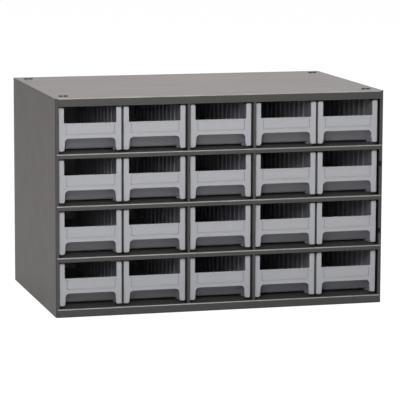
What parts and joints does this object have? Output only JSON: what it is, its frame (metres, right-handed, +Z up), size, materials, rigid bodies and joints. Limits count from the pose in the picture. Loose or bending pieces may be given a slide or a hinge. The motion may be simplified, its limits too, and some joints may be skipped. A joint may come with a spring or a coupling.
{
  "type": "parts bin cabinet",
  "caption": "Box-shaped steel cabinet with open-fronted plastic drawers in rows and columns, each sliding out by a finger cut-out under its label bar.",
  "frame": {"origin": "centre of the footprint, on the surface the cabinet stands on", "axes": "+Z up, +X to the right as seen from the drawer side, +Y towards the back; drawers open towards -Y"},
  "size_m": [0.435, 0.2794, 0.2809],
  "materials": {
    "case_paint": "satin powder coat",
    "drawer_plastic": "moulded, satin"
  },
  "bodies": {
    "case": {"top_panel": "case_paint", "bottom_panel": "case_paint", "left_side_panel": "case_paint", "right_side_panel": "case_paint", "back_panel": "case_paint", "upper_shelf": "case_paint", "middle_shelf": "case_paint", "lower_shelf": "case_paint", "left_partition": "case_paint", "right_partition": "case_paint"},
    "drawer_1_1": {"drawer_row_1_column_1": "drawer_plastic"},
    "drawer_1_2": {"drawer_row_1_column_2": "drawer_plastic"},
    "drawer_1_3": {"drawer_row_1_column_3": "drawer_plastic"},
    "drawer_1_4": {"drawer_row_1_column_4": "drawer_plastic"},
    "drawer_1_5": {"drawer_row_1_column_5": "drawer_plastic"},
    "drawer_2_1": {"drawer_row_2_column_1": "drawer_plastic"},
    "drawer_2_2": {"drawer_row_2_column_2": "drawer_plastic"},
    "drawer_2_3": {"drawer_row_2_column_3": "drawer_plastic"},
    "drawer_2_4": {"drawer_row_2_column_4": "drawer_plastic"},
    "drawer_2_5": {"drawer_row_2_column_5": "drawer_plastic"},
    "drawer_3_1": {"drawer_row_3_column_1": "drawer_plastic"},
    "drawer_3_2": {"drawer_row_3_column_2": "drawer_plastic"},
    "drawer_3_3": {"drawer_row_3_column_3": "drawer_plastic"},
    "drawer_3_4": {"drawer_row_3_column_4": "drawer_plastic"},
    "drawer_3_5": {"drawer_row_3_column_5": "drawer_plastic"},
    "drawer_4_1": {"drawer_row_4_column_1": "drawer_plastic"},
    "drawer_4_2": {"drawer_row_4_column_2": "drawer_plastic"},
    "drawer_4_3": {"drawer_row_4_column_3": "drawer_plastic"},
    "drawer_4_4": {"drawer_row_4_column_4": "drawer_plastic"},
    "drawer_4_5": {"drawer_row_4_column_5": "drawer_plastic"}
  },
  "joints": [
    {"name": "slide_1_1", "type": "slide", "parent": "case", "child": "drawer_1_1", "axis": [0, -1, 0], "range_m": [0, 0.2481]},
    {"name": "slide_1_2", "type": "slide", "parent": "case", "child": "drawer_1_2", "axis": [0, -1, 0], "range_m": [0, 0.2481]},
    {"name": "slide_1_3", "type": "slide", "parent": "case", "child": "drawer_1_3", "axis": [0, -1, 0], "range_m": [0, 0.2481]},
    {"name": "slide_1_4", "type": "slide", "parent": "case", "child": "drawer_1_4", "axis": [0, -1, 0], "range_m": [0, 0.2481]},
    {"name": "slide_1_5", "type": "slide", "parent": "case", "child": "drawer_1_5", "axis": [0, -1, 0], "range_m": [0, 0.2481]},
    {"name": "slide_2_1", "type": "slide", "parent": "case", "child": "drawer_2_1", "axis": [0, -1, 0], "range_m": [0, 0.2481]},
    {"name": "slide_2_2", "type": "slide", "parent": "case", "child": "drawer_2_2", "axis": [0, -1, 0], "range_m": [0, 0.2481]},
    {"name": "slide_2_3", "type": "slide", "parent": "case", "child": "drawer_2_3", "axis": [0, -1, 0], "range_m": [0, 0.2481]},
    {"name": "slide_2_4", "type": "slide", "parent": "case", "child": "drawer_2_4", "axis": [0, -1, 0], "range_m": [0, 0.2481]},
    {"name": "slide_2_5", "type": "slide", "parent": "case", "child": "drawer_2_5", "axis": [0, -1, 0], "range_m": [0, 0.2481]},
    {"name": "slide_3_1", "type": "slide", "parent": "case", "child": "drawer_3_1", "axis": [0, -1, 0], "range_m": [0, 0.2481]},
    {"name": "slide_3_2", "type": "slide", "parent": "case", "child": "drawer_3_2", "axis": [0, -1, 0], "range_m": [0, 0.2481]},
    {"name": "slide_3_3", "type": "slide", "parent": "case", "child": "drawer_3_3", "axis": [0, -1, 0], "range_m": [0, 0.2481]},
    {"name": "slide_3_4", "type": "slide", "parent": "case", "child": "drawer_3_4", "axis": [0, -1, 0], "range_m": [0, 0.2481]},
    {"name": "slide_3_5", "type": "slide", "parent": "case", "child": "drawer_3_5", "axis": [0, -1, 0], "range_m": [0, 0.2481]},
    {"name": "slide_4_1", "type": "slide", "parent": "case", "child": "drawer_4_1", "axis": [0, -1, 0], "range_m": [0, 0.2481]},
    {"name": "slide_4_2", "type": "slide", "parent": "case", "child": "drawer_4_2", "axis": [0, -1, 0], "range_m": [0, 0.2481]},
    {"name": "slide_4_3", "type": "slide", "parent": "case", "child": "drawer_4_3", "axis": [0, -1, 0], "range_m": [0, 0.2481]},
    {"name": "slide_4_4", "type": "slide", "parent": "case", "child": "drawer_4_4", "axis": [0, -1, 0], "range_m": [0, 0.2481]},
    {"name": "slide_4_5", "type": "slide", "parent": "case", "child": "drawer_4_5", "axis": [0, -1, 0], "range_m": [0, 0.2481]}
  ]
}
